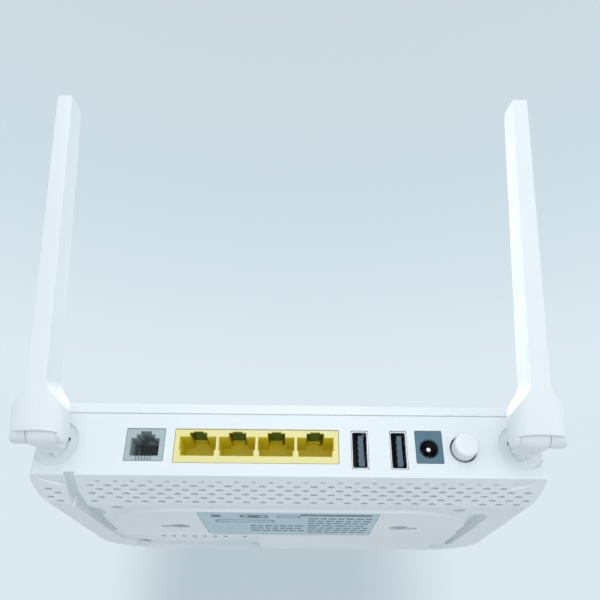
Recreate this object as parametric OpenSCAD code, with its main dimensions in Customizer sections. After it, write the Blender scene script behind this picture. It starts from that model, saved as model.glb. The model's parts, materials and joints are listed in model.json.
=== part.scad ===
// Wireless router: a two-piece case on its feet, a board of parts hung under the top cover,
// a row of sockets in the rear wall, and two antennas that swivel and fold.
// Origin: middle of the case, on the surface it stands on. Front faces -Y, sockets face +Y.

/* [Case] */
// Width of the case
case_w = 180; // [178:1:186]
// Depth of the case from the front to the socket face
case_d = 119; // [117:1:130]
// Height of the case above the surface it stands on
case_h = 36.5; // [36:0.5:38]
// Thickness of the case walls
wall = 2.2; // [2:0.1:2.4]
// Height of the lower edge of the front and rear faces
edge_z = 8.5; // [8:0.1:9]
// Height at which the sides start to turn in under the case
side_edge_z = 5; // [4:0.1:6]
// Height of the joint between the two covers
seam_z = 30.9; // [30.5:0.1:31.5]
// Corner radius at the front
front_corner_r = 26; // [20:1:30]

/* [Underside] */
// Height of the underside beside the raised plate
belly_z = 1.2; // [0.8:0.1:1.6]
// Width of the raised plate that the case stands on
plate_w = 140; // [130:1:142]
// Pitch of the vent holes across the case
vent_pitch = 6.06; // [5.8:0.02:6.6]
// Radius of one vent hole
vent_r = 1.2; // [0.8:0.1:1.3]
// Distance between the two wall-mounting keyholes
keyhole_spacing = 88; // [84:1:92]
// Radius of a keyhole's round entry
keyhole_r = 4; // [3.8:0.1:4.2]

/* [Sockets] */
// Width of the four-socket network block
lan_w = 58.4; // [58:0.1:59]
// Distance between two network sockets
lan_pitch = 13.97; // [13.9:0.01:14.1]
// Width of the telephone socket
phone_w = 13.6; // [13.2:0.1:13.8]
// Width of a USB socket, which stands on edge
usb_w = 5.1; // [5:0.1:5.4]
// Height of a USB socket
usb_h = 13.3; // [13.1:0.1:13.4]
// Width of the power socket
dc_w = 9.4; // [9:0.1:9.6]
// Radius of the power socket's hole
dc_hole_r = 3.25; // [3:0.05:3.3]
// Radius of the power socket's centre pin
dc_pin_r = 1.05; // [0.8:0.05:1.25]
// Radius of the power button
button_r = 4.3; // [4:0.1:4.4]
// How far the power button stands out of the rear face
button_out = 5.5; // [4.5:0.1:6]

/* [Antennas] */
// Distance from the middle of the case to an antenna's swivel axis
swivel_x = 83; // [82.5:0.1:83]
// Distance from the rear face to an antenna's folding pin
fold_out = 13.5; // [13.5:0.1:15]
// Length of an antenna from its folding pin to its tip
antenna_l = 121; // [100:0.5:140]
// Angle that an antenna leans back at rest
lean = 18; // [0:1:30]
// Width of an antenna's flared root
root_w = 18.8; // [18:0.5:20]
// Depth of an antenna at its root
root_d = 13.6; // [13.4:0.1:14]
// Thickness of an antenna above the root
blade_w = 6.5; // [6:0.1:7]

/* [Hidden] */
$fn = 48;

// Clearances: e keeps a cut clear of a face, slack is a running fit, air parts two pieces
e = 0.5;
slack = 0.05;
air = 0.2;

// Case outline
half_w = case_w / 2;
rear_y = case_d / 2;
rear_corner_r = 1.2;
rear_run = 14.6;      // how far forward the vented slope under the rear edge runs
front_run = 12;       // how far back the slope under the front edge runs
side_run = 6.5;       // how far in the sides taper below the lower edge
rear_slope = (edge_z - belly_z) / rear_run;
front_slope = (edge_z - belly_z) / front_run;
side_slope = (side_edge_z - belly_z) / side_run;
rim_z = seam_z + 3.7; // top of the upper cover's upright rim

// Underside features
plate_y0 = rear_y - 100;
plate_y1 = rear_y - 17;
plate_r = 30;
label_size = [67, 44];
label_t = 0.3;
label_y = rear_y - 40.5;
channel_x = 75;
channel_w = 4.4;
channel_z = 3.2;      // height of the channels' roof
pocket_x0 = 14;
pocket_x1 = channel_x + channel_w / 2;
pocket_y0 = rear_y - 99;
pocket_y1 = rear_y - 66;
pocket_z = 1.9;
hole_row_y = rear_y - 82;
hole_row_x = 43.4;
hole_row_pitch = 4.7;
reset_x = 20.5;
keyhole_y = rear_y - 46;
keyhole_slot = [3.4, 7.5];
foot_x = 69;
foot_y = rear_y - 95;
foot_r = 3;

// Board and the parts on it
board_z = 25.1;
board_t = 1.6;
board_x = 82;
board_y0 = -44;
board_y1 = rear_y - wall - air;
screw_post = [62.4, 42];
screw_post_r = 3.2;
well_r = 2.2;          // entry of a case screw's well
board_posts = [[66, -34], [-66, -34], [76, 28], [-76, 28]];
post_r = 3;

// Sockets: each face lies just inside the rear face
face_y = rear_y - 0.2;
lan_x = 11.5;
lan_z = 13.2;
lan_depth = 18;
lan_open = [11.8, 6.9];
phone_x = 51.2;
phone_z = 13.7;
phone_depth = 15;
usb_xs = [-24.95, -38.75];
usb_z = board_z - 0.2 - usb_h;
usb_depth = 16;
usb_skin = 0.4;
dc_x = -49.9;
dc_z = 13.7;
dc_axis_z = 18.9;
dc_depth = 14;
dc_root_r = 1.6;       // root of the centre pin, pressed into the socket's body
button_x = -62.1;
button_z = 18.9;
button_hole_r = 4.8;

// Antenna joint
swivel_z = edge_z + 11.3;
shaft_r = 3.8;
flange_r = 4.3;
dish_r = 8.3;
dish_depth = 1.2;
tongue_x = [-6.8, 4.1];   // inner and outer ends of the swivel's folding tongue
tongue_r = 5.4;
collar_r = 5.2;
collar_out = 5.6;
cheek_r = 4.5;
pin_r = 1.6;
fold_y = rear_y + fold_out;
slot_gap = 0.3;
antenna_dx = 0.8;       // the antenna's middle stands this far outside the swivel axis

// Moves a flat outline's drawing plane: side_view draws Y across and Z up, front_view X and Z
module side_view(w) {
    rotate([90, 0, 90]) translate([0, 0, -w / 2]) linear_extrude(w) children();
}
module front_view(d) {
    rotate([90, 0, 0]) translate([0, 0, -d / 2]) linear_extrude(d) children();
}
module both_sides() {
    children();
    mirror([1, 0, 0]) children();
}
module cyl_y(r, l) { rotate([-90, 0, 0]) cylinder(r = r, h = l); }
module cyl_x(r, l) { rotate([0, 90, 0]) cylinder(r = r, h = l, center = true); }
module box(x, y, z) {
    translate([x[0], y[0], z[0]]) cube([x[1] - x[0], y[1] - y[0], z[1] - z[0]]);
}
module rounded(w, d, r) {
    square([w - 2 * r, d], center = true);
    square([w, d - 2 * r], center = true);
    for (i = [-1, 1], j = [-1, 1]) translate([i * (w / 2 - r), j * (d / 2 - r)]) circle(r);
}

// The case's plan, inset all round by i
module case_plan(i) {
    fr = front_corner_r - i;
    rr = max(0.5, rear_corner_r - i);
    w = half_w - i;
    d = rear_y - i;
    translate([-w + fr, -d]) square([2 * (w - fr), 2 * d - rr]);
    translate([-w, -d + fr]) square([2 * w, 2 * d - fr - rr]);
    translate([-w + rr, 0]) square([2 * (w - rr), d]);
    for (s = [-1, 1]) {
        translate([s * (w - fr), -d + fr]) circle(fr, $fn = 96);
        translate([s * (w - rr), d - rr]) circle(rr);
    }
}
// A sloping face moved inwards by i: the height at which it meets the wall inset by i
function rise(i, slope) = i * sqrt(1 + slope * slope) - i * slope;

// The lower case's outside at i = 0, and the hollow inside it at i = wall
module lower_form(i, top) {
    low = belly_z + i;
    y1 = rear_y - i;
    rear_low = edge_z + rise(i, rear_slope);
    front_low = edge_z + rise(i, front_slope);
    side_low = side_edge_z + rise(i, side_slope);
    x1 = half_w - i;
    intersection() {
        linear_extrude(top) case_plan(i);
        side_view(case_w) polygon([[y1, rear_low], [y1, top], [-y1, top], [-y1, front_low],
            [-y1 + (front_low - low) / front_slope, low],
            [y1 - (rear_low - low) / rear_slope, low]]);
        front_view(case_d) polygon([[x1, side_low], [x1, top], [-x1, top], [-x1, side_low],
            [-x1 + (side_low - low) / side_slope, low],
            [x1 - (side_low - low) / side_slope, low]]);
    }
}

// Cable channels: the long one opens through the rear edge and ends in the front pocket
module long_channel(grow) {
    w = channel_w + 2 * grow;
    translate([channel_x, 0, 0]) side_view(w) polygon([[rear_y + e, -e], [rear_y + e, edge_z + 1 + grow],
        [rear_y - 1, edge_z + 1 + grow], [rear_y - 15, channel_z + grow],
        [pocket_y1 - 2, channel_z + grow], [pocket_y1 - 2, -e]]);
}
module short_channel(grow) {
    w = channel_w + 2 * grow;
    translate([-channel_x + 3, rear_y - 58, -e]) linear_extrude(channel_z + e + grow)
        rounded(w, 66 + 2 * grow, w / 2 - 0.1);
}
module front_pocket(grow) {
    w = pocket_x1 - pocket_x0;
    d = pocket_y1 - pocket_y0;
    translate([pocket_x0 + w / 2, pocket_y0 + d / 2, -e]) linear_extrude(pocket_z + e + grow)
        intersection() {
            rounded(w + 2 * grow, d + 2 * grow, 3);
            translate([-10, 6]) rounded(w + 20 + 2 * grow, d + 12 + 2 * grow, 16);
        }
}
module vents() {
    tilt = atan(rear_slope);
    columns = 13;
    for (row = [0:3], column = [-columns:columns]) {
        run = 3 + row * 3.1;
        x = (column + (row % 2) / 2) * vent_pitch;
        if (abs(x - channel_x) > 5 && abs(x) < 79)
            translate([x, rear_y - run, edge_z - run * rear_slope]) rotate([-tilt, 0, 0])
                translate([0, 0, -1]) cylinder(r = vent_r, h = 5, $fn = 16);
    }
}
module keyhole() {
    translate([keyhole_spacing / 2, keyhole_y, -e]) {
        cylinder(r = keyhole_r, h = 6);
        translate([0, -keyhole_slot[0] / 2, 0]) cube([keyhole_slot[1], keyhole_slot[0], 6]);
    }
}
module rear_openings() {
    y = [rear_y - wall - 1, rear_y + e];
    box([lan_x - lan_w / 2 - air, lan_x + lan_w / 2 + air], y, [lan_z - air, board_z + 0.1]);
    box([phone_x - phone_w / 2 - air, phone_x + phone_w / 2 + air], y, [phone_z - air, board_z + 0.1]);
    for (x = usb_xs)
        box([x - usb_w / 2 - air, x + usb_w / 2 + air], y, [usb_z - air, board_z + 0.1]);
    box([dc_x - dc_w / 2 - air, dc_x + dc_w / 2 + air], y, [dc_z - air, board_z + 0.1]);
    translate([button_x, y[0], button_z]) cyl_y(button_hole_r, 5);
    both_sides() translate([swivel_x, 0, swivel_z]) {
        translate([0, y[0], 0]) cyl_y(shaft_r + slack, 5);
        translate([0, rear_y - dish_depth, 0]) cyl_y(dish_r, 3);
    }
}
module bottom_cover() {
    color("white") difference() {
        union() {
            difference() {
                union() {
                    lower_form(0, seam_z);
                    translate([0, (plate_y0 + plate_y1) / 2, 0]) linear_extrude(belly_z + 1)
                        rounded(plate_w, plate_y1 - plate_y0, plate_r, $fn = 96);
                }
                difference() {
                    lower_form(wall, seam_z + e);
                    long_channel(1.8);
                    short_channel(1.8);
                    front_pocket(1.8);
                    both_sides() translate([screw_post[0], screw_post[1], 0])
                        cylinder(r = screw_post_r + 1.6, h = 12);
                }
            }
            both_sides() translate([screw_post[0], screw_post[1], 8]) cylinder(r = screw_post_r + 1.6, h = 4);
            for (p = board_posts) translate([p[0], p[1], belly_z + 1]) cylinder(r = post_r, h = board_z - belly_z - 1);
        }
        long_channel(0);
        short_channel(0);
        front_pocket(0);
        vents();
        both_sides() keyhole();
        rear_openings();
        translate([0, label_y, -e]) linear_extrude(label_t + 0.1 + e)
            square([label_size[0] + 0.6, label_size[1] + 0.6], center = true);
        both_sides() {
            translate([screw_post[0], screw_post[1], -e]) cylinder(r = well_r, h = 7.5 + e);
            translate([screw_post[0], screw_post[1], 0]) cylinder(r = 1.7, h = 14);
            translate([foot_x, foot_y, -e]) cylinder(r = foot_r, h = belly_z + 0.6 + e);
        }
        for (i = [-3:3]) translate([hole_row_x + i * hole_row_pitch, hole_row_y, -e]) cylinder(r = 0.8, h = 6);
        translate([reset_x, hole_row_y, -e]) cylinder(r = 0.9, h = 6);
        for (p = board_posts) translate([p[0], p[1], board_z - 8]) cylinder(r = 1.35, h = 9);
    }
}

// Upper cover: an upright rim, a shallow crown, an inner skirt and two screw posts
module top_form(i) {
    y1 = rear_y - i;
    top = case_h - i;
    intersection() {
        translate([0, 0, seam_z - (i > 0 ? e : 0)]) linear_extrude(case_h) case_plan(i);
        side_view(case_w) polygon([[y1, 0], [y1, rim_z - i], [y1 - 4, top], [20, top],
            [-y1 + 10, top - 1], [-y1, rim_z - 1 - i], [-y1, 0]]);
        front_view(case_d) polygon([[half_w - i, 0], [half_w - i, rim_z - i], [half_w - i - 4, top],
            [-half_w + i + 4, top], [-half_w + i, rim_z - i], [-half_w + i, 0]]);
    }
}
led_xs = [for (i = [-3:3]) i * 7];
led_y = -40;
module top_cover() {
    skirt = 2.4;
    color("whitesmoke") difference() {
        union() {
            difference() {
                top_form(0);
                top_form(2);
            }
            difference() {
                translate([0, 0, seam_z - skirt]) linear_extrude(skirt + 1) case_plan(wall + air);
                translate([0, 0, seam_z - skirt - e]) linear_extrude(skirt + 3) case_plan(wall + air + 1.2);
            }
            both_sides() translate([screw_post[0], screw_post[1], 12.2])
                cylinder(r = screw_post_r, h = case_h - 13);
        }
        both_sides() translate([screw_post[0], screw_post[1], 11]) cylinder(r = 1.35, h = 14);
        for (x = led_xs) translate([x, led_y, case_h - 4]) cylinder(r = 1.1, h = 5);
        box([-half_w, half_w], [rear_y - 6, rear_y - wall - 1], [seam_z - skirt - e, seam_z - 0.6]);
    }
}
module label_sticker() {
    color("lightsteelblue") translate([0, label_y, 0.1]) linear_extrude(label_t)
        rounded(label_size[0], label_size[1], 2);
}
module front_feet() {
    color("gainsboro") both_sides() translate([foot_x, foot_y, 0]) cylinder(r = foot_r - 0.1, h = belly_z + 0.6);
}
module case_screws() {
    color("silver") both_sides() translate([screw_post[0], screw_post[1], 4.8]) difference() {
        union() {
            cylinder(r = well_r - 0.2, h = 2.2);
            cylinder(r = 1.3, h = 15);
        }
        for (a = [0, 90]) rotate([0, 0, a]) translate([-1.2, -0.3, -e]) cube([2.4, 0.6, 1.2 + e]);
    }
}

// Circuit board and its screws
module main_board() {
    color("darkgreen") difference() {
        translate([0, 0, board_z]) linear_extrude(board_t) difference() {
            translate([-board_x, board_y0]) square([2 * board_x, board_y1 - board_y0]);
            for (s = [-1, 1]) {
                translate([s * screw_post[0], screw_post[1]]) circle(screw_post_r + 0.5);
                translate([s * board_x, board_y0]) circle(14);
            }
            for (p = board_posts) translate(p) circle(1.6);
        }
    }
}
module board_screws() {
    color("silver") for (p = board_posts) translate([p[0], p[1], board_z + board_t]) difference() {
        union() {
            cylinder(r = 2.6, h = 1.5);
            translate([0, 0, -7]) cylinder(r = 1.25, h = 7.5);
        }
        for (a = [0, 90]) rotate([0, 0, a]) translate([-1.5, -0.3, 0.7]) cube([3, 0.6, 2]);
    }
}

// Network sockets: each has a wide mouth and a stepped latch notch open to the board above
lan_xs = [for (i = [-1.5:1:1.5]) lan_x + i * lan_pitch];
lan_mouth_z = lan_z + 1.5;
module lan_socket_block() {
    back = face_y - lan_depth;
    color("gold") difference() {
        box([lan_x - lan_w / 2, lan_x + lan_w / 2], [back, face_y], [lan_z, board_z]);
        for (x = lan_xs) translate([x, face_y - 15, 0]) {
            box([-lan_open[0] / 2, lan_open[0] / 2], [0, 20], [lan_mouth_z, lan_mouth_z + lan_open[1]]);
            box([-3.3, 3.3], [0, 20], [lan_mouth_z, lan_mouth_z + lan_open[1] + 1.5]);
            box([-2, 2], [0, 20], [lan_mouth_z, board_z + e]);
        }
    }
}
module lan_contacts() {
    color("goldenrod") for (x = lan_xs, i = [-3.5:1:3.5]) translate([x + i * 1.02, 0, 0])
        side_view(0.4) polygon([[face_y - 14.9, lan_mouth_z + 3.4], [face_y - 14.9, lan_mouth_z + 3],
            [face_y - 4, lan_mouth_z + 0.1], [face_y - 3.2, lan_mouth_z + 0.1], [face_y - 3.2, lan_mouth_z + 0.5]]);
}

// Telephone socket
phone_mouth_z = phone_z + 1.8;
module phone_socket() {
    color("darkgray") difference() {
        box([phone_x - phone_w / 2, phone_x + phone_w / 2], [face_y - phone_depth, face_y], [phone_z, board_z]);
        translate([phone_x, face_y - 12, 0]) {
            box([-4.9, 4.9], [0, 20], [phone_mouth_z, phone_mouth_z + 6.2]);
            box([-3.2, 3.2], [0, 20], [phone_mouth_z, phone_mouth_z + 7.5]);
            box([-1.8, 1.8], [0, 20], [phone_mouth_z, phone_mouth_z + 8.8]);
        }
    }
}
module phone_contacts() {
    color("goldenrod") for (i = [-2.5:1:2.5]) translate([phone_x + i * 1.02, 0, 0])
        side_view(0.4) polygon([[face_y - 11.9, phone_mouth_z + 3], [face_y - 11.9, phone_mouth_z + 2.6],
            [face_y - 3.4, phone_mouth_z + 0.1], [face_y - 2.6, phone_mouth_z + 0.1],
            [face_y - 2.6, phone_mouth_z + 0.5]]);
}

// USB sockets, standing on edge with the tongue towards -X
module usb_shell(x) {
    color("silver") translate([x, 0, usb_z]) difference() {
        box([-usb_w / 2, usb_w / 2], [face_y - usb_depth, face_y], [0, usb_h]);
        box([-usb_w / 2 + usb_skin, usb_w / 2 - usb_skin], [face_y - usb_depth + 1, face_y + e],
            [usb_skin, usb_h - usb_skin]);
    }
}
usb_tongue_x = -usb_w / 2 + usb_skin + 0.45;
module usb_tongue(x) {
    color("slategray") translate([x, 0, usb_z]) {
        box([usb_tongue_x, usb_tongue_x + 1.8], [face_y - 10, face_y - 1.2], [1.1, usb_h - 1.1]);
        box([-usb_w / 2 + usb_skin, usb_w / 2 - usb_skin], [face_y - usb_depth + 1, face_y - 10],
            [usb_skin, usb_h - usb_skin]);
    }
}
module usb_contacts(x) {
    color("gold") for (i = [-1.5:1:1.5])
        translate([x + usb_tongue_x + 1.8, 0, usb_z + usb_h / 2 + i * 2.3])
            box([0, 0.2], [face_y - 9.5, face_y - 2], [-0.5, 0.5]);
}

// Power socket
module dc_socket_body() {
    color("steelblue") difference() {
        box([dc_x - dc_w / 2, dc_x + dc_w / 2], [face_y - dc_depth, face_y], [dc_z, board_z]);
        translate([dc_x, face_y - 10, dc_axis_z]) cyl_y(dc_hole_r, 11);
        translate([dc_x, face_y - 12, dc_axis_z]) cyl_y(dc_root_r, 3);
        box([dc_x - 1, dc_x + 1], [face_y - 9.5, face_y - 3], [dc_z - e, dc_axis_z - dc_hole_r + 0.6]);
    }
}
module dc_socket_pin() {
    color("silver") translate([dc_x, 0, dc_axis_z]) {
        translate([0, face_y - 12, 0]) cyl_y(dc_root_r, 2);
        translate([0, face_y - 10, 0]) cyl_y(dc_pin_r, 9);
    }
}
module dc_socket_spring() {
    color("silver") box([dc_x - 0.8, dc_x + 0.8], [face_y - 9.3, face_y - 3.2],
        [dc_axis_z - dc_hole_r - 0.2, dc_axis_z - dc_hole_r + 0.2]);
}

// Power button and its switch
switch_y = [rear_y - 12, rear_y - 6];
module power_switch() {
    color("dimgray") difference() {
        box([button_x - 4, button_x + 4], switch_y, [button_z - 4, board_z]);
        translate([button_x, switch_y[0] + 1, button_z]) cyl_y(1.5 + slack, 8);
    }
}
module power_button() {
    color("white") translate([button_x, 0, button_z]) {
        translate([0, rear_y - 3.2, 0]) cyl_y(button_r, 3.2 + button_out);
        translate([0, switch_y[1] - 1.5, 0]) cyl_y(1.5, 5);
    }
}

// Parts under the board, by middle and size; h is how far each hangs down
module under_board(x, y, w, d, h) {
    translate([x, y, board_z - h]) linear_extrude(h) square([w, d], center = true);
}
module processor_chip() { color("dimgray") under_board(0, 2, 17, 17, 1.2); }
module heat_sink() {
    color("lightgray") translate([0, 2, board_z - 1.2]) {
        translate([-16, -16, -1.5]) cube([32, 32, 1.5]);
        for (i = [-3:3]) translate([i * 5 - 0.6, -16, -8]) cube([1.2, 32, 7]);
    }
}
module memory_chip() { color("dimgray") under_board(28, 6, 9, 13, 1.1); }
module flash_chip() { color("dimgray") under_board(28, -10, 12, 9, 1); }
module wifi_shield() {
    color("silver") difference() {
        under_board(-44, 2, 38, 28, 3.2);
        under_board(-44, 2, 37.2, 27.2, 2.8);
    }
}
module phone_line_chip() { color("dimgray") under_board(51, 34, 7, 7, 0.9); }
module optical_module() {
    color("silver") {
        under_board(60, 4, 12, 20, 7);
        translate([60, -13, board_z - 3.5]) cyl_y(2.8, 8);
    }
}
module lan_transformers() {
    color("dimgray") for (i = [-1.5:1:1.5]) under_board(lan_x + i * 15, 33, 12.5, 9, 5.5);
}
module filter_capacitors() {
    color("midnightblue") for (p = [[-47, 37], [-36, 37], [-25, 37]])
        translate([p[0], p[1], board_z - 11]) cylinder(r = 4, h = 11);
}
module power_inductors() {
    color("dimgray") for (p = [[-58, 30], [-58, 20]]) under_board(p[0], p[1], 7, 7, 4);
}

// Status lights on top of the board, and the clear guide that carries their light to the cover
module status_leds() {
    color("ivory") for (x = led_xs)
        translate([x - 0.8, led_y - 0.8, board_z + board_t]) cube([1.6, 1.6, 0.7]);
}
module light_guide() {
    guide_z = board_z + board_t + 1;
    color("lightcyan") {
        translate([-24, led_y - 2, guide_z]) cube([48, 4, 2]);
        for (x = led_xs) translate([x, led_y, guide_z]) cylinder(r = 0.95, h = case_h - 1 - guide_z);
    }
}

// Reset switch: a plunger above its pinhole
module reset_switch() {
    color("dimgray") difference() {
        under_board(reset_x, hole_row_y, 6, 6, 3.5);
        translate([reset_x, hole_row_y, board_z - 4]) cylinder(r = 1.6 + slack, h = 3);
    }
}
module reset_plunger() {
    color("black") translate([reset_x, hole_row_y, board_z - 5]) cylinder(r = 1.6, h = 3.6);
}

// Aerial lead inside the case, from the board to the hollow swivel shaft
module lead(a, b, r) {
    d = b - a;
    flat = norm([d[0], d[1]]);
    translate(a) {
        sphere(r * 1.15);
        rotate([0, atan2(flat, d[2]), atan2(d[1], d[0])]) cylinder(r = r, h = norm(d));
    }
}
module antenna_cable() {
    a = [swivel_x, rear_y - 3, swivel_z];
    b = [swivel_x, rear_y - 10, swivel_z];
    c = [swivel_x - 7, rear_y - 13, board_z - 0.7];
    color("gray") union() {
        lead(a, b, 0.65);
        lead(b, c, 0.65);
        translate([c[0], c[1], board_z - 2]) cylinder(r = 1.2, h = 2);
    }
}

// Swivel: a hollow shaft snapped through the rear wall, a round collar and the folding tongue
module swivel() {
    color("white") translate([swivel_x, 0, swivel_z]) difference() {
        union() {
            translate([0, rear_y - wall - 1.5, 0]) cyl_y(flange_r, 1.35);
            translate([0, rear_y - wall - 1.5, 0]) cyl_y(shaft_r, wall + 3);
            translate([0, rear_y + 0.6, 0]) cyl_y(collar_r, collar_out - 0.6);
            box([tongue_x[0] + 1, tongue_x[1] - 0.6], [rear_y + collar_out - 1, fold_y], [-4.6, 4.6]);
            translate([(tongue_x[0] + tongue_x[1]) / 2, fold_y, 0]) cyl_x(tongue_r, tongue_x[1] - tongue_x[0]);
        }
        translate([0, fold_y, 0]) cyl_x(pin_r + slack, 20);
        translate([0, rear_y - 5, 0]) cyl_y(1.4, 5 + fold_out - 4);
    }
}
module fold_pin() {
    color("silver") translate([swivel_x + antenna_dx, fold_y, swivel_z]) cyl_x(pin_r, 15);
}

// Antenna in its own frame: the folding pin along X at the origin, the tip up along Z
flare_z = [5, 17];    // where the root's flare starts and where it has become the blade
tip_w = 5.3;
tip_y = [-4.1, 5.9];  // front and back of the blade at its tip
lip = [[root_d / 2, 0.15], [0, -2.25], [-root_d / 2, -3.5]];  // the root's lower edge
slot_roof = 6.2;
module antenna_front() {
    spread = (root_w - blade_w) / 2;
    flare = [for (a = [0:15:180]) [blade_w / 2 + spread * (1 + cos(a)) / 2,
        flare_z[0] + (flare_z[1] - flare_z[0]) * a / 180]];
    half = concat([[root_w / 2, -8]], flare, [[tip_w / 2, antenna_l - 0.6], [tip_w / 2 - 0.6, antenna_l]]);
    polygon(concat(half, [for (k = [len(half) - 1:-1:0]) [-half[k][0], half[k][1]]]));
}
module antenna_side() {
    polygon(concat([[-root_d / 2, 12], [tip_y[0], antenna_l - 4], [tip_y[0] + 1, antenna_l - 1.5],
        [tip_y[0] + 3, antenna_l], [tip_y[1] - 0.4, antenna_l], [tip_y[1], antenna_l - 0.4],
        [root_d / 2, 12]], lip));
    circle(cheek_r);
}
module antenna_solid() {
    slot_x = [tongue_x[0] - slot_gap - antenna_dx, tongue_x[1] + slot_gap - antenna_dx];
    difference() {
        intersection() {
            front_view(30) antenna_front();
            side_view(30) antenna_side();
            translate([0, 0, -20]) linear_extrude(antenna_l + 40) rounded(root_w, root_d, 6.2);
        }
        // slot for the swivel's tongue, open in front and below
        box(slot_x, [-10, tongue_r + 0.3], [-10, slot_roof]);
        cyl_x(pin_r, 15.2);
        // hollow for the aerial element
        box([-1.6, 1.6], [-3.4, 4.6], [slot_roof - e, 18]);
        box([-1.4, 1.4], [-3.4, 4.6], [17, antenna_l - 6]);
    }
}
module antenna_at_rest() {
    translate([swivel_x + antenna_dx, fold_y, swivel_z]) rotate([-lean, 0, 0]) children();
}
module antenna_shell(side) {
    color("white") antenna_at_rest() intersection() {
        antenna_solid();
        translate([side > 0 ? 0 : -20, -20, -20]) cube([20, 40, antenna_l + 40]);
    }
}
module antenna_element() {
    color("seagreen") antenna_at_rest() {
        box([-0.5, 0.5], [-2.8, 4], [19, antenna_l - 8]);
        translate([0, 0, slot_roof + 1]) cylinder(r = 0.65, h = 13, $fn = 24);
    }
}

bottom_cover();
top_cover();
label_sticker();
front_feet();
case_screws();
main_board();
board_screws();
lan_socket_block();
lan_contacts();
phone_socket();
phone_contacts();
usb_shell(usb_xs[0]);  // usb_shell_1
usb_tongue(usb_xs[0]);  // usb_tongue_1
usb_contacts(usb_xs[0]);  // usb_contacts_1
usb_shell(usb_xs[1]);  // usb_shell_2
usb_tongue(usb_xs[1]);  // usb_tongue_2
usb_contacts(usb_xs[1]);  // usb_contacts_2
dc_socket_body();
dc_socket_pin();
dc_socket_spring();
power_switch();
power_button();
processor_chip();
heat_sink();
memory_chip();
flash_chip();
wifi_shield();
phone_line_chip();
optical_module();
lan_transformers();
filter_capacitors();
power_inductors();
status_leds();
light_guide();
reset_switch();
reset_plunger();
antenna_cable();  // antenna_cable_right
mirror([1, 0, 0]) antenna_cable();  // antenna_cable_left
swivel();  // swivel_right
fold_pin();  // fold_pin_right
antenna_shell(1);  // antenna_outer_shell_right
antenna_shell(-1);  // antenna_inner_shell_right
antenna_element();  // antenna_element_right
mirror([1, 0, 0]) swivel();  // swivel_left
mirror([1, 0, 0]) fold_pin();  // fold_pin_left
mirror([1, 0, 0]) antenna_shell(1);  // antenna_outer_shell_left
mirror([1, 0, 0]) antenna_shell(-1);  // antenna_inner_shell_left
mirror([1, 0, 0]) antenna_element();  // antenna_element_left
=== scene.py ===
"""Wireless router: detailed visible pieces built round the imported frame, in millimetres scaled to metres."""
import json
import math

import bmesh
import bpy
from mathutils import Matrix, Vector


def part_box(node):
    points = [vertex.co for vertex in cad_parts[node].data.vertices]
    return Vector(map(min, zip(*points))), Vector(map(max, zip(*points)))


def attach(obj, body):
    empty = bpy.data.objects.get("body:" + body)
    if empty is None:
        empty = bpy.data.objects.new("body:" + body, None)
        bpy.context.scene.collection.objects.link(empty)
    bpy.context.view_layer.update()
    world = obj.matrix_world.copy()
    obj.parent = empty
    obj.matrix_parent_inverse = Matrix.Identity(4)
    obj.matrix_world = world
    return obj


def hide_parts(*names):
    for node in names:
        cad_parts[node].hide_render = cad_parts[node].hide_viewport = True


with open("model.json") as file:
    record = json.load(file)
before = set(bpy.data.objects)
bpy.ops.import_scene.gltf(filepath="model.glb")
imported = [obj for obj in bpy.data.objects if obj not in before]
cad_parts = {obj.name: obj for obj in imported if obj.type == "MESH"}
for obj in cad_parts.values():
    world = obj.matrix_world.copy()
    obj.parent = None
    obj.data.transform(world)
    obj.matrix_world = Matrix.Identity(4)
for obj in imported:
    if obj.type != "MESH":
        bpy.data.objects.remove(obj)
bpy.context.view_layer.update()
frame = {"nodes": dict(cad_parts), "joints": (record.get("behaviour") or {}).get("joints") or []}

MM = 0.001


# ---------------- places taken from the frame
def box_mm(node):
    low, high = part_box(node)
    return [v / MM for v in low], [v / MM for v in high]


def middle(node):
    low, high = box_mm(node)
    return [(a + b) / 2 for a, b in zip(low, high)]


def joint_place(name):
    joint = next(j for j in frame["joints"] if j["name"] == name)
    return [v / MM for v in joint["pos_m"]]


HALF_W, REAR, SEAM = box_mm("bottom_cover")[1]
TOP = box_mm("top_cover")[1][2]
BOARD_Z = box_mm("main_board")[0][2]
SWIVEL = joint_place("antenna_swivel_right")
FOLD = joint_place("antenna_fold_right")
EDGE = 8.5                # lower edge of the rear and front faces
BELLY = 1.2               # underside beside the raised plate
SIDE_EDGE = 5             # where the sides start to turn under
CORNER = 1.2              # rear corner radius
DISH_R = 8.3              # recess round each swivel
WELL = (62.4, 42)         # case screw wells
REAR_RUN = 14.6           # length of the vented slope
FRONT_RUN = 12
SLOPE = (EDGE - BELLY) / REAR_RUN
WALL = 2.2
FLOOR_IN = 5.4            # inside floor
CHANNEL_TOP = 4.6         # roof of the two cable channels
CHANNEL_COVER = 6.4       # raised inside floor over the channels
FRONT_CORNER = 26         # front corner radius
WINDOW_Y = REAR - 82      # row of small windows in the pocket
KEYHOLE = (44, REAR - 46, 4)    # x, y and radius of a wall keyhole
FOOT = (69, REAR - 95)
LEAN = math.radians(18)   # the antennas lean back this far at rest
ANTENNA_X = SWIVEL[0] + 0.8
ANTENNA_L = 121
NETWORK_PITCH = 13.97     # from one network socket to the next
CONTACT_PITCH = 1.02      # from one socket contact to the next


# ---------------- mesh helpers
def add_object(name, bm):
    """A new object from a bmesh drawn in millimetres."""
    bmesh.ops.remove_doubles(bm, verts=bm.verts, dist=1e-5)
    bmesh.ops.recalc_face_normals(bm, faces=bm.faces)
    mesh = bpy.data.meshes.new(name)
    bm.to_mesh(mesh)
    bm.free()
    mesh.transform(Matrix.Scale(MM, 4))
    obj = bpy.data.objects.new(name, mesh)
    bpy.context.scene.collection.objects.link(obj)
    return obj


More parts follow.
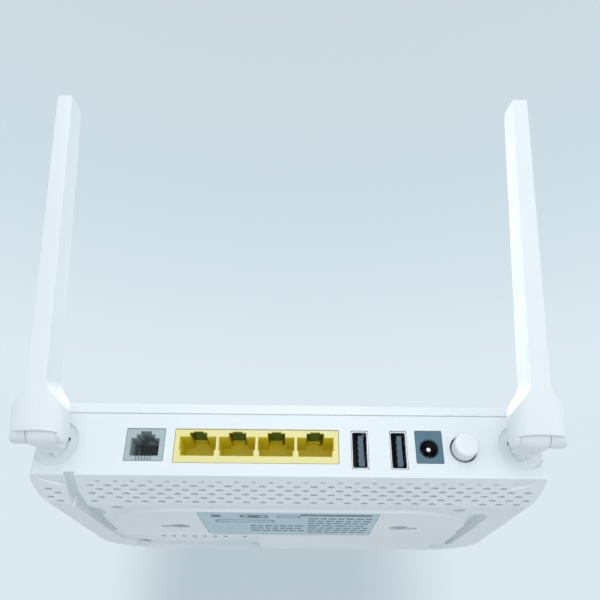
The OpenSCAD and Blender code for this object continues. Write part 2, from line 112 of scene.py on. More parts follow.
def loft(rings, bm=None):
    """A closed solid through rings of equally many points."""
    bm = bm or bmesh.new()
    rows = [[bm.verts.new(p) for p in ring] for ring in rings]
    count = len(rows[0])
    for low, high in zip(rows, rows[1:]):
        for i in range(count):
            j = (i + 1) % count
            bm.faces.new((low[i], low[j], high[j], high[i]))
    bm.faces.new(rows[0][::-1])
    bm.faces.new(rows[-1])
    return bm


def corners_ring(x0, x1, y0, y1, radii, z, steps=8):
    """A rounded rectangle at height z. radii: right rear, left rear, left front, right front."""
    centres = ((x1, y1, -1, -1, 0), (x0, y1, 1, -1, 90), (x0, y0, 1, 1, 180), (x1, y0, -1, 1, 270))
    ring = []
    for (cx, cy, sx, sy, start), r in zip(centres, radii):
        for k in range(steps + 1):
            a = math.radians(start + 90 * k / steps)
            ring.append((cx + sx * r + r * math.cos(a), cy + sy * r + r * math.sin(a), z))
    return ring


def place(points, axis):
    """Turns points drawn in XY with depth Z so that they look along axis."""
    if axis == "z":
        return [tuple(p) for p in points]
    if axis == "y":   # X across, Z up, extruded along Y
        return [(x, z, y) for x, y, z in points]
    return [(z, x, y) for x, y, z in points]   # Y across, Z up, extruded along X


def prism(outline, axis, low, high, bm=None):
    """A straight extrusion of an outline of (across, up) points between low and high along axis."""
    rings = [place([(u, v, w) for u, v in outline], axis) for w in (low, high)]
    return loft(rings, bm)


def disc_outline(cx, cy, r, steps=32):
    return [(cx + r * math.cos(2 * math.pi * k / steps), cy + r * math.sin(2 * math.pi * k / steps))
            for k in range(steps)]


def rect_outline(x0, x1, y0, y1, r=0.0, steps=5):
    if r <= 0:
        return [(x1, y1), (x0, y1), (x0, y0), (x1, y0)]
    return [(x, y) for x, y, _ in corners_ring(x0, x1, y0, y1, (r,) * 4, 0, steps)]


def lathe(profile, axis, centre, steps=48, bm=None):
    """A solid turned about axis through centre. profile: (distance along the axis, radius)."""
    bm = bm or bmesh.new()
    rings = []
    for along, r in profile:
        ring = [(max(r, 1e-3) * math.cos(2 * math.pi * k / steps),
                 max(r, 1e-3) * math.sin(2 * math.pi * k / steps), along) for k in range(steps)]
        rings.append([tuple(Vector(p) + Vector(centre)) for p in place(ring, axis)])
    return loft(rings, bm)


def flared_hole(outline_at, y_face, depth, flare=0.35):
    """A cutter through the rear wall, chamfered at the mouth. outline_at(grow) gives the outline."""
    rings = []
    stations = ((y_face - depth, 0), (y_face - flare, 0), (y_face + 0.02, flare), (y_face + 3, flare + 0.2))
    for y, grow in stations:
        rings.append(place([(x, z, y) for x, z in outline_at(grow)], "y"))
    return loft(rings)


def cut(obj, *tools, how="DIFFERENCE"):
    """Boolean of obj with each tool, applied at once. A tool is a bmesh or an object."""
    for tool in tools:
        other = tool if isinstance(tool, bpy.types.Object) else add_object("tool", tool)
        mod = obj.modifiers.new("cut", "BOOLEAN")
        mod.operation = how
        mod.solver = "EXACT"
        mod.object = other
        apply_modifiers(obj)
        bpy.data.objects.remove(other)
    return obj


def apply_modifiers(obj):
    deps = bpy.context.evaluated_depsgraph_get()
    mesh = bpy.data.meshes.new_from_object(obj.evaluated_get(deps))
    obj.modifiers.clear()
    obj.data = mesh


def tidy(obj, angle=30, flat=0.4, bevel=0, segments=2):
    """Merges faces that are flat together, adds a fine bevel and smooths the rounds.
    With flat 0 the faces stay apart and only the many-sided ones are split."""
    bm = bmesh.new()
    bm.from_mesh(obj.data)
    bmesh.ops.remove_doubles(bm, verts=bm.verts, dist=2e-6)
    if flat:
        bmesh.ops.dissolve_limit(bm, angle_limit=math.radians(flat), verts=bm.verts, edges=bm.edges)
    else:
        bmesh.ops.triangulate(bm, faces=[f for f in bm.faces if len(f.verts) > 4])
    bmesh.ops.recalc_face_normals(bm, faces=bm.faces)
    bm.to_mesh(obj.data)
    bm.free()
    if bevel:
        mod = obj.modifiers.new("bevel", "BEVEL")
        mod.width = bevel * MM
        mod.segments = segments
        mod.limit_method = "ANGLE"
        mod.angle_limit = math.radians(angle)
        apply_modifiers(obj)
    obj.data.shade_smooth()
    obj.data.set_sharp_from_angle(angle=math.radians(angle))
    weighted = obj.modifiers.new("weighted", "WEIGHTED_NORMAL")
    weighted.keep_sharp = True
    return obj


def mirrored(bm):
    """The same solid on the other side of the case."""
    bmesh.ops.scale(bm, vec=(-1, 1, 1), verts=bm.verts)
    bmesh.ops.reverse_faces(bm, faces=bm.faces)
    return bm


def adopt(obj, material, body, slot, *nodes):
    """Finishes a piece: material, the body it rides on and the CAD nodes it replaces. The slot argument is not
    used.
    """
    obj.data.materials.clear()
    obj.data.materials.append(material)
    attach(obj, body)
    if nodes:
        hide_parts(*nodes)
    return obj


# ---------------- materials
def shader(name, colour, roughness, metallic=0.0, **sockets):
    """A new node material. Returns (material, nodes, links, principled shader)."""
    material = bpy.data.materials.new(name)
    material.use_nodes = True
    tree = material.node_tree
    principled = tree.nodes["Principled BSDF"]
    principled.inputs["Base Color"].default_value = (*colour, 1)
    principled.inputs["Roughness"].default_value = roughness
    principled.inputs["Metallic"].default_value = metallic
    for socket, value in sockets.items():
        principled.inputs[socket.replace("_", " ")].default_value = value
    return material, tree.nodes, tree.links, principled


def noise(nodes, links, scale, detail=3.0, rough=0.5):
    """Noise over the piece's own coordinates, which are metres in the frame."""
    coords = nodes.new("ShaderNodeTexCoord")
    node = nodes.new("ShaderNodeTexNoise")
    node.inputs["Scale"].default_value = scale
    node.inputs["Detail"].default_value = detail
    node.inputs["Roughness"].default_value = rough
    links.new(coords.outputs["Object"], node.inputs["Vector"])
    return node.outputs["Fac"]


def remap(nodes, links, source, low, high):
    node = nodes.new("ShaderNodeMapRange")
    node.inputs["From Min"].default_value = 0.3
    node.inputs["From Max"].default_value = 0.7
    node.inputs["To Min"].default_value = low
    node.inputs["To Max"].default_value = high
    links.new(source, node.inputs["Value"])
    return node.outputs["Result"]


def blend_colour(nodes, links, factor, a, b):
    node = nodes.new("ShaderNodeMix")
    node.data_type = "RGBA"
    node.inputs["A"].default_value = (*a, 1)
    node.inputs["B"].default_value = (*b, 1)
    links.new(factor, node.inputs["Factor"])
    return node.outputs["Result"]


def bump(nodes, links, height, principled, distance, strength=1.0):
    node = nodes.new("ShaderNodeBump")
    node.inputs["Strength"].default_value = strength
    node.inputs["Distance"].default_value = distance
    links.new(height, node.inputs["Height"])
    links.new(node.outputs["Normal"], principled.inputs["Normal"])


def tinted(colour, factor):
    return tuple(min(1, c * factor) for c in colour)


def plastic(name, colour, roughness, grain=2600, depth=0.000012, spread=0.05, mottle=0.02, **sockets):
    """Moulded plastic: slow mottling in the colour, uneven gloss and a fine moulded grain."""
    material, nodes, links, principled = shader(name, colour, roughness, **sockets)
    slow = noise(nodes, links, 28, 2)
    fine = noise(nodes, links, grain, 2, 0.6)
    shade = blend_colour(nodes, links, remap(nodes, links, slow, 0, 1),
                         tinted(colour, 1 - mottle), tinted(colour, 1 + mottle))
    links.new(shade, principled.inputs["Base Color"])
    links.new(remap(nodes, links, noise(nodes, links, 140, 3), roughness - spread, roughness + spread),
              principled.inputs["Roughness"])
    bump(nodes, links, fine, principled, depth)
    return material


def metal(name, colour, roughness, grain=900, stretch=(1, 1, 14)):
    """Plated or drawn metal: fine streaks in the gloss and faint tarnish in the colour."""
    material, nodes, links, principled = shader(name, colour, roughness, metallic=1.0)
    coords = nodes.new("ShaderNodeTexCoord")
    mapping = nodes.new("ShaderNodeMapping")
    mapping.inputs["Scale"].default_value = stretch
    streaks = nodes.new("ShaderNodeTexNoise")
    streaks.inputs["Scale"].default_value = grain
    links.new(coords.outputs["Object"], mapping.inputs["Vector"])
    links.new(mapping.outputs["Vector"], streaks.inputs["Vector"])
    links.new(remap(nodes, links, streaks.outputs["Fac"], roughness * 0.7, roughness * 1.4),
              principled.inputs["Roughness"])
    tarnish = noise(nodes, links, 160, 4)
    shade = blend_colour(nodes, links, tarnish, tinted(colour, 0.86), tinted(colour, 1.08))
    links.new(shade, principled.inputs["Base Color"])
    bump(nodes, links, streaks.outputs["Fac"], principled, 0.000006)
    return material


def board_material():
    """Solder mask over a maze of tracks, with scattered tinned pads."""
    mask, track = (0.012, 0.10, 0.035), (0.02, 0.17, 0.06)
    material, nodes, links, principled = shader("board_green", mask, 0.35)
    coords = nodes.new("ShaderNodeTexCoord")
    bricks = nodes.new("ShaderNodeTexBrick")
    bricks.inputs["Scale"].default_value = 170
    bricks.inputs["Mortar Size"].default_value = 0.09
    bricks.inputs["Color1"].default_value = (*mask, 1)
    bricks.inputs["Color2"].default_value = (*tinted(mask, 1.25), 1)
    bricks.inputs["Mortar"].default_value = (*track, 1)
    links.new(coords.outputs["Object"], bricks.inputs["Vector"])
    dots = nodes.new("ShaderNodeTexVoronoi")
    dots.inputs["Scale"].default_value = 230
    links.new(coords.outputs["Object"], dots.inputs["Vector"])
    pads = nodes.new("ShaderNodeMath")
    pads.operation = "LESS_THAN"
    pads.inputs[1].default_value = 0.12
    links.new(dots.outputs["Distance"], pads.inputs[0])
    colour = nodes.new("ShaderNodeMix")
    colour.data_type = "RGBA"
    colour.inputs["B"].default_value = (0.55, 0.56, 0.5, 1)
    links.new(pads.outputs["Value"], colour.inputs["Factor"])
    links.new(bricks.outputs["Color"], colour.inputs["A"])
    links.new(colour.outputs["Result"], principled.inputs["Base Color"])
    links.new(remap(nodes, links, noise(nodes, links, 300), 0.28, 0.42), principled.inputs["Roughness"])
    bump(nodes, links, bricks.outputs["Fac"], principled, 0.00002)
    return material


WHITE = (0.84, 0.865, 0.885)
white_case = plastic("white_case", WHITE, 0.42)
white_cover = plastic("white_cover", (0.86, 0.88, 0.9), 0.3, grain=1800, depth=0.000004, spread=0.04)
white_antenna = plastic("white_antenna", (0.85, 0.87, 0.885), 0.4, depth=0.000008)
white_button = plastic("white_button", (0.86, 0.875, 0.88), 0.28, depth=0.000004)
foot_grey = plastic("foot_grey", (0.80, 0.83, 0.85), 0.7, grain=1500, depth=0.00003)
yellow = plastic("socket_yellow", (0.86, 0.76, 0.32), 0.36)
grey = plastic("socket_grey", (0.42, 0.49, 0.50), 0.45)
# painted sheen: the black power socket is coloured the slate blue it shows in strong cool light
slate_painted_sheen = plastic("socket_slate", (0.075, 0.17, 0.235), 0.42)
black = plastic("black_plastic", (0.018, 0.02, 0.022), 0.45)
# painted sheen: the black tongue is coloured the blue-grey of the cool light it reflects
tongue_painted_sheen_blue = plastic("tongue_painted_sheen_blue", (0.07, 0.13, 0.19), 0.4)
chip_black = plastic("chip_black", (0.03, 0.03, 0.033), 0.5, grain=1500, depth=0.00002)
sleeve = plastic("capacitor_sleeve", (0.02, 0.025, 0.05), 0.3)
cable_grey = plastic("cable_grey", (0.3, 0.31, 0.32), 0.4)
clear = plastic("clear_guide", (0.82, 0.88, 0.9), 0.12, Transmission_Weight=0.7, IOR=1.49)
led_white = plastic("led_white", (0.85, 0.85, 0.7), 0.25)
# painted glow and painted shade: a deeper, darker yellow with a faint glow stands in for the shade deep in the
# socket mouths and the light that scatters inside the pale yellow plastic
yellow_painted_glow_and_shade = plastic("inside_yellow_painted_glow_shade", (0.80, 0.68, 0.03), 0.4, grain=2600, depth=0.000008,
                      Emission_Color=(0.85, 0.72, 0.02, 1), Emission_Strength=0.05)
gold_dim = metal("gold_in_shade", (0.25, 0.17, 0.06), 0.5)
label_film = plastic("label_film", (0.40, 0.55, 0.62), 0.3, grain=3000, depth=0.000002)
label_ink = plastic("label_ink", (0.10, 0.17, 0.22), 0.5, grain=3000, depth=0.000002)
tin = metal("tin_plate", (0.72, 0.73, 0.74), 0.22)
steel = metal("screw_steel", (0.6, 0.6, 0.6), 0.3)
aluminium = metal("aluminium", (0.75, 0.76, 0.77), 0.38)
board_green = board_material()


# ---------------- camera, light and stage
def make_camera():
    """Behind and below the router, looking up at the socket face."""
    eye = Vector((-3.5, REAR + 218, EDGE - 56)) * MM
    pitch, roll = math.radians(30.2), 0.0096
    look = Vector((0, -math.cos(pitch), math.sin(pitch)))
    up = Vector((0, math.sin(pitch), math.cos(pitch)))
    right = look.cross(up)
    turn = Matrix((right, up, -look)).transposed().to_4x4()
    data = bpy.data.cameras.new("camera")
    data.sensor_width = 36
    data.lens = 37.5
    data.clip_start = 0.01
    camera = bpy.data.objects.new("camera", data)
    camera.matrix_world = Matrix.Translation(eye) @ turn @ Matrix.Rotation(roll, 4, "Z")
    bpy.context.scene.collection.objects.link(camera)
    bpy.context.scene.camera = camera


def area_light(name, place_mm, target_mm, size, power):
    data = bpy.data.lights.new(name, "AREA")
    data.shape = "DISK"
    data.size = size
    data.energy = power
    light = bpy.data.objects.new(name, data)
    light.location = Vector(place_mm) * MM
    direction = (Vector(target_mm) - Vector(place_mm)).normalized()
    light.rotation_mode = "QUATERNION"
    light.rotation_quaternion = direction.to_track_quat("-Z", "Y")
    bpy.context.scene.collection.objects.link(light)


def make_world():
    """A pale blue-white surround, a little darker overhead and below."""
    world = bpy.data.worlds.new("pale_surround")
    bpy.context.scene.world = world
    world.use_nodes = True
    nodes, links = world.node_tree.nodes, world.node_tree.links
    background = nodes["Background"]
    coords = nodes.new("ShaderNodeTexCoord")
    split = nodes.new("ShaderNodeSeparateXYZ")
    ramp = nodes.new("ShaderNodeValToRGB")
    reach = nodes.new("ShaderNodeMapRange")
    reach.inputs["From Min"].default_value = -1
    reach.inputs["From Max"].default_value = 1
    links.new(coords.outputs["Generated"], split.inputs["Vector"])
    links.new(split.outputs["Z"], reach.inputs["Value"])
    links.new(reach.outputs["Result"], ramp.inputs["Fac"])
    links.new(ramp.outputs["Color"], background.inputs["Color"])
    stops = ((0.0, (0.55, 0.605, 0.635)), (0.5, (0.72, 0.81, 0.865)), (0.70, (0.725, 0.825, 0.885)),
             (0.80, (0.62, 0.735, 0.80)), (0.92, (0.60, 0.69, 0.74)))
    ramp.color_ramp.elements.remove(ramp.color_ramp.elements[1])
    for i, (at, colour) in enumerate(stops):
        stop = ramp.color_ramp.elements[0] if i == 0 else ramp.color_ramp.elements.new(at)
        stop.position = at
        stop.color = (*colour, 1)


def hide_from_light(obj):
    """Leaves a stage object to the camera alone."""
    for kind in ("diffuse", "glossy", "transmission", "shadow"):
        setattr(obj, "visible_" + kind, False)


def make_floor():
    """A pale floor that is seen only from above, so that the view from below looks past it."""
    bm = bmesh.new()
    ring = [(1600 * math.cos(a), 1600 * math.sin(a), -0.1) for a in
            [2 * math.pi * k / 64 for k in range(64)]]
    bm.faces.new([bm.verts.new(p) for p in ring])
    floor = add_object("floor", bm)
    if floor.data.polygons[0].normal.z < 0:
        floor.data.flip_normals()
    material, nodes, links, principled = shader("floor_pale", (0.72, 0.78, 0.82), 0.7)
    geometry = nodes.new("ShaderNodeNewGeometry")
    clear_side = nodes.new("ShaderNodeBsdfTransparent")
    mix = nodes.new("ShaderNodeMixShader")
    links.new(geometry.outputs["Backfacing"], mix.inputs["Fac"])
    links.new(principled.outputs["BSDF"], mix.inputs[1])
    links.new(clear_side.outputs["BSDF"], mix.inputs[2])
    links.new(mix.outputs["Shader"], nodes["Material Output"].inputs["Surface"])
    floor.data.materials.append(material)
    hide_from_light(floor)


def make_soft_shadow():
    """A soft shade in the air below the front edge, seen only from behind."""
    bm = bmesh.new()
    bm.faces.new([bm.verts.new(p) for p in ((-95, -62, -70), (100, -62, -70), (100, -62, 7), (-95, -62, 7))])
    sheet = add_object("soft_shade", bm)
    if sheet.data.polygons[0].normal.y < 0:
        sheet.data.flip_normals()
    material = bpy.data.materials.new("soft_shade")
    material.use_nodes = True
    nodes, links = material.node_tree.nodes, material.node_tree.links
    nodes.remove(nodes["Principled BSDF"])
    coords = nodes.new("ShaderNodeTexCoord")
    split = nodes.new("ShaderNodeSeparateXYZ")
    links.new(coords.outputs["Generated"], split.inputs["Vector"])
    fades = []
    for start, end in ((0.02, 0.34), (0.98, 0.74)):
        fade = nodes.new("ShaderNodeMapRange")
        fade.interpolation_type = "SMOOTHSTEP"
        fade.inputs["From Min"].default_value = start
        fade.inputs["From Max"].default_value = end
        links.new(split.outputs["X"], fade.inputs["Value"])
        fades.append(fade)
    both = nodes.new("ShaderNodeMath")
    both.operation = "MULTIPLY"
    links.new(fades[0].outputs["Result"], both.inputs[0])
    links.new(fades[1].outputs["Result"], both.inputs[1])
    tint = blend_colour(nodes, links, both.outputs["Value"], (1, 1, 1), (0.67, 0.71, 0.735))
    through = nodes.new("ShaderNodeBsdfTransparent")
    links.new(tint, through.inputs["Color"])
    plain = nodes.new("ShaderNodeBsdfTransparent")
    geometry = nodes.new("ShaderNodeNewGeometry")
    mix = nodes.new("ShaderNodeMixShader")
    links.new(geometry.outputs["Backfacing"], mix.inputs["Fac"])
    links.new(through.outputs["BSDF"], mix.inputs[1])
    links.new(plain.outputs["BSDF"], mix.inputs[2])
    links.new(mix.outputs["Shader"], nodes["Material Output"].inputs["Surface"])
    sheet.data.materials.append(material)
    hide_from_light(sheet)


bpy.context.scene.view_settings.view_transform = "Standard"
make_camera()
make_world()
make_floor()
make_soft_shadow()
area_light("key", (20, 640, 400), (0, 40, 20), 0.5, 0.65)
area_light("near", (-30, 480, 20), (0, 59, 16), 0.35, 0.26)
area_light("fill", (-500, 420, 100), (0, 40, 30), 0.6, 0.4)
area_light("front", (200, -700, 600), (0, 0, 20), 0.7, 3.0)


# ---------------- lower cover
def side_edge(y):
    depth = min(max(REAR - y, 0), 95)
    return (8.3 - 0.033 * depth - BELLY) / (SIDE_EDGE - BELLY)


def outer_rings():
    """Rings of the lower cover's outside from the belly to the seam, before the rear slope is cut."""
    rings = []
    steps = 7
    for k in range(steps + 1):
        a = math.pi / 2 * (1 - k / steps)
        z = SIDE_EDGE - (SIDE_EDGE - BELLY) * math.sin(a)
        side = 6.5 * (1 - math.cos(a))
        front = FRONT_RUN * (EDGE - z) / (EDGE - BELLY)
        ring = corners_ring(-HALF_W + side, HALF_W - side, -REAR + front, REAR,
                            (CORNER, CORNER, FRONT_CORNER - front * 0.6, FRONT_CORNER - front * 0.6), z, 12)
        # the edge where the sides turn under falls a little towards the front
        rings.append([(x, y, BELLY + (z - BELLY) * side_edge(y)) for x, y, z in ring])
    for z, inset in ((EDGE, 0), (SEAM - 0.3, 0), (SEAM, 0.25)):
        rings.append(corners_ring(-HALF_W + inset, HALF_W - inset, -REAR + inset, REAR - inset,
                                  (CORNER, CORNER, FRONT_CORNER, FRONT_CORNER), z, 12))
    return rings


def inner_rings():
    rings = []
    for z, side, front in ((FLOOR_IN, WALL + 1.5, 11), (EDGE + 3, WALL, WALL), (SEAM + 2, WALL, WALL)):
        rings.append(corners_ring(-HALF_W + side, HALF_W - side, -REAR + front, REAR - WALL,
                                  (0.5, 0.5, 22, 22), z, 8))
    return rings


def slope_wedge(gap):
    """What lies below the sloping vent field, moved inwards by gap."""
    lift = gap * math.sqrt(1 + SLOPE * SLOPE)
    reach = 30
    outline = [(REAR + 2, EDGE + 2 * SLOPE + lift), (REAR - reach, EDGE - reach * SLOPE + lift),
               (REAR - reach, -20), (REAR + 2, -20)]
    return prism(outline, "x", -HALF_W - 5, HALF_W + 5)


def plate_rings():
    rings = []
    for z, inset, r in ((BELLY + 1.5, -0.5, 30.5), (BELLY, -0.35, 30.3), (0.35, 0, 30), (0, 0.4, 29.6)):
        rings.append(corners_ring(-70 + inset, 70 - inset, REAR - 100 + inset, REAR - 17 - inset,
                                  (r,) * 4, z, 14))
    return rings[::-1]


def channel_cutter():
    """The long cable channel: through the rear edge, along the side, with a bay on its inner side."""
    outline = ((73.1, 68), (77.2, 68), (77.0, 13), (78.1, 8), (78.1, -2), (74.3, -2), (73.6, 10), (71.5, 17),
               (68.6, 19), (68.6, 26), (71.3, 31), (72.4, 45))
    return prism([(x, REAR - d) for x, d in outline], "z", -2, CHANNEL_TOP)


def channel_mouth():
    """The same channel where it climbs the slope to its notch in the rear face."""
    return prism([(REAR + 2, -2), (REAR + 2, EDGE + 1.1), (REAR - 1.2, EDGE + 1.0), (REAR - 3, EDGE + 0.9),
                  (REAR - 15, CHANNEL_TOP), (REAR - 15, -2)], "x", 74.3, 78.1)


def short_channel_cutter():
    outline = ((-67.6, 23.5), (-73.4, 23.5), (-75.4, 27), (-75.6, 50), (-74.6, 88), (-73, 92), (-71, 90),
               (-70.3, 60), (-68.6, 52), (-68.6, 44), (-69.8, 40), (-68.6, 34))
    return prism([(x, REAR - d) for x, d in outline], "z", -2, CHANNEL_TOP)


def channel_roofs():
    """The raised inner floor over the two channels."""
    long_roof = prism(rect_outline(66.5, 79.8, REAR - 71, REAR - 9), "z", -3, CHANNEL_COVER)
    mouth_roof = prism(rect_outline(72.4, 80.1, REAR - 17, REAR + 1), "z", -3.5, EDGE + 2.8)
    short_roof = prism(rect_outline(-77.4, -65.8, REAR - 94, REAR - 21.5), "z", -3, CHANNEL_COVER)
    return long_roof, mouth_roof, short_roof


def pocket_cutter():
    outline = ((14, 99), (56, 99), (64, 97.5), (71, 92), (75.5, 84), (77.2, 76), (77.2, 66), (73.1, 65),
               (70.5, 66), (14, 66.5))
    return prism([(x, REAR - d) for x, d in outline], "z", -2, 2.3)


def scoop_cutter():
    """The shallow lit scoop under each antenna swivel, a thin slice parallel to the slope."""
    outline = [(78.5, 0.8), (88.6, 0.8), (87.0, 2.2), (84, 3.9), (81, 4.8), (78.5, 5.2)]
    rings = []
    for lift in (0, 1):
        # the scoop runs out to nothing at the rear edge
        rings.append([(x, REAR - d, EDGE - d * SLOPE - 3 + lift * (3.01 + 0.22 * (d - 0.8)))
                      for x, d in outline])
    return loft(rings)


def dimples():
    """The vent field: rows of round dimples on the slope, each with a fine hole at its middle."""
    bm = bmesh.new()
    pitch, row_gap, rows, columns = 6.06, 2.1, 6, 14
    tilt = math.atan(SLOPE)
    turn = Matrix.Rotation(-tilt, 4, "X")
    for row in range(rows):
        along = 3.0 + row * row_gap
        for column in range(-columns, columns + 1):
            x = (column + (row % 2) / 2) * pitch
            mouth = 0.95 if row == 0 else 1.35
            deep = 0.25 - row * 0.02
            near_channel = 71.8 < x < 79.6
            near_well = abs(abs(x) - WELL[0]) < 4 and row > 4
            in_scoop = abs(x) > 76.5 and along < 6.6
            if abs(x) > 88.3 - along * 0.12 or near_channel or near_well or in_scoop:
                continue
            run, drop = along * math.cos(tilt), along * math.sin(tilt)
            centre = Matrix.Translation((x, REAR - run, EDGE - drop)) @ turn
            rings = []
            for depth, r in ((-0.5, mouth + 0.15), (-0.02, mouth + 0.03), (0.4 * deep, mouth * 0.82),
                             (0.8 * deep, mouth * 0.55), (deep, 0.26), (3.6, 0.22)):
                rings.append([tuple(centre @ Vector((r * math.cos(a), r * math.sin(a), depth)))
                              for a in [2 * math.pi * k / 16 for k in range(16)]])
            loft(rings, bm)
    return bm


def keyhole_cutter(side):
    x, y, r = KEYHOLE[0] * side, KEYHOLE[1], KEYHOLE[2]
    profile = [(-1, r + 0.35), (0.0, r + 0.3), (0.35, r), (1.9, r), (1.91, r + 2.5), (7, r + 2.5)]
    return lathe(profile, "z", (x, y, 0))


def keyhole_slot(side):
    x, y = KEYHOLE[0] * side, KEYHOLE[1]
    ends = sorted((x, x + side * 7.5))
    return prism(rect_outline(ends[0], ends[1], y - 1.7, y + 1.7), "z", -1, 7)


def floor_window(x):
    """A short rounded window through the pocket's floor, wider above so that it shows the dark inside."""
    y = WINDOW_Y
    return (prism(rect_outline(x - 0.9, x + 0.9, y - 1.3, y + 1.3, 0.7), "z", -1, 3),
            prism(rect_outline(x - 1.7, x + 1.7, y - 4, y + 2.4, 0.7), "z", 2.6, 7))


def make_lower_cover():
    cover = add_object("lower_cover", loft(outer_rings()))
    cut(cover, slope_wedge(0))
    cut(cover, loft(plate_rings()), how="UNION")
    cavity = add_object("cavity", loft(inner_rings()))
    cut(cavity, slope_wedge(WALL), *channel_roofs())
    cut(cover, cavity)
    cut(cover, channel_cutter(), channel_mouth(), short_channel_cutter(), pocket_cutter())
    cut(cover, scoop_cutter(), mirrored(scoop_cutter()))
    for side in (1, -1):
        cut(cover, keyhole_cutter(side), keyhole_slot(side))
        cut(cover, lathe([(-1, 2.5), (BELLY, 2.4), (BELLY + 0.2, 2.2), (7.4, 2.2)], "z",
                         (WELL[0] * side, WELL[1], 0)))
        cut(cover, lathe([(-1, 3.05), (1.8, 3.0)], "z", (FOOT[0] * side, FOOT[1], 0)))
        swivel = (SWIVEL[0] * side, 0, SWIVEL[2])
        dish = [(REAR - 3, 3.9), (REAR - 1.2, 3.9), (REAR - 1.19, DISH_R - 0.35), (REAR - 0.9, DISH_R - 0.1),
                (REAR - 0.15, DISH_R), (REAR + 2, DISH_R + 0.3)]
        cut(cover, lathe(dish, "y", swivel))
        # stop slot beside the swivel's stem
        ends = sorted((side * (SWIVEL[0] - 4.7), side * (SWIVEL[0] - 3.5)))
        cut(cover, prism(rect_outline(*ends, SWIVEL[2] + 0.6, SWIVEL[2] + 2.3), "y", REAR - 3, REAR))
    low, high = box_mm("label_sticker")
    recess = rect_outline(low[0] - 0.3, high[0] + 0.3, low[1] - 0.3, high[1] + 0.3, 2.2)
    cut(cover, prism(recess, "z", -1, 0.4))
    for i in range(-3, 4):
        cut(cover, *floor_window(43.4 + i * 4.7))
    cut(cover, *floor_window(20.5))
    for hole in rear_holes():
        cut(cover, hole)
    cut(cover, dimples())
    tidy(cover, 28, flat=0)
    return adopt(cover, white_case, "case", "case_plastic", "bottom_cover")


def rear_holes():
    """Windows in the rear wall, one for each socket, a little larger than the socket."""
    holes = []
    windows = ["lan_socket_block", "phone_socket", "usb_shell_1", "usb_shell_2", "dc_socket_body"]
    for node in windows:
        low, high = box_mm(node)
        if node.startswith("usb"):
            low = (low[0] - 0.6, low[1], low[2])

        def outline(grow, low=low, high=high):
            g = grow + 0.15
            return rect_outline(low[0] - g, high[0] + g, low[2] - g, high[2] + g + 0.1, 0.35 + grow)

        holes.append(flared_hole(outline, REAR, 4, 0.18))
    button = middle("power_button")
    holes.append(flared_hole(lambda grow: disc_outline(button[0], button[2], 4.8 + grow, 48), REAR, 4, 0.3))
    return holes


# ---------------- upper cover
def make_upper_cover():
    profile = ((SEAM + 0.15, 0.3, 0), (SEAM + 0.35, 0, 0), (SEAM + 3.1, 0, 0), (SEAM + 3.5, 0.18, 0.1),
               (SEAM + 3.7, 0.6, 0.5), (SEAM + 4.0, 2.0, 1.5), (SEAM + 4.5, 6, 4), (TOP - 0.5, 13, 8),
               (TOP - 0.1, 24, 14), (TOP, 32, 18))
    rings = []
    for z, inset, soft in profile:
        rear, front = CORNER + soft, FRONT_CORNER - inset * 0.3
        rings.append(corners_ring(-HALF_W + inset, HALF_W - inset, -REAR + inset, REAR - inset,
                                  (rear, rear, front, front), z, 12))
    cover = add_object("upper_cover", loft(rings))
    hollow = []
    for z, inset in ((SEAM - 1, 2.2), (SEAM + 2.2, 2.2), (TOP - 2.4, 9), (TOP - 2, 20)):
        hollow.append(corners_ring(-HALF_W + inset, HALF_W - inset, -REAR + inset, REAR - inset,
                                   (1, 1, 22, 22), z, 10))
    cut(cover, loft(hollow))
    guide_low, guide_high = box_mm("light_guide")
    for i in range(-3, 4):
        cut(cover, lathe([(TOP - 4, 1.1), (TOP - 0.6, 1.1), (TOP + 1, 1.5)], "z",
                         (i * 7, (guide_low[1] + guide_high[1]) / 2, 0), 24))
    tidy(cover, 28)
    adopt(cover, white_cover, "case", "cover_plastic", "top_cover")


# ---------------- label, feet and screws
def bars(rows, low, high):
    """Flat ink bars: (x0, x1, y0, y1) each, between the heights low and high."""
    bm = bmesh.new()
    for x0, x1, y0, y1 in rows:
        prism(rect_outline(x0, x1, y0, y1), "z", low, high, bm)
    return bm


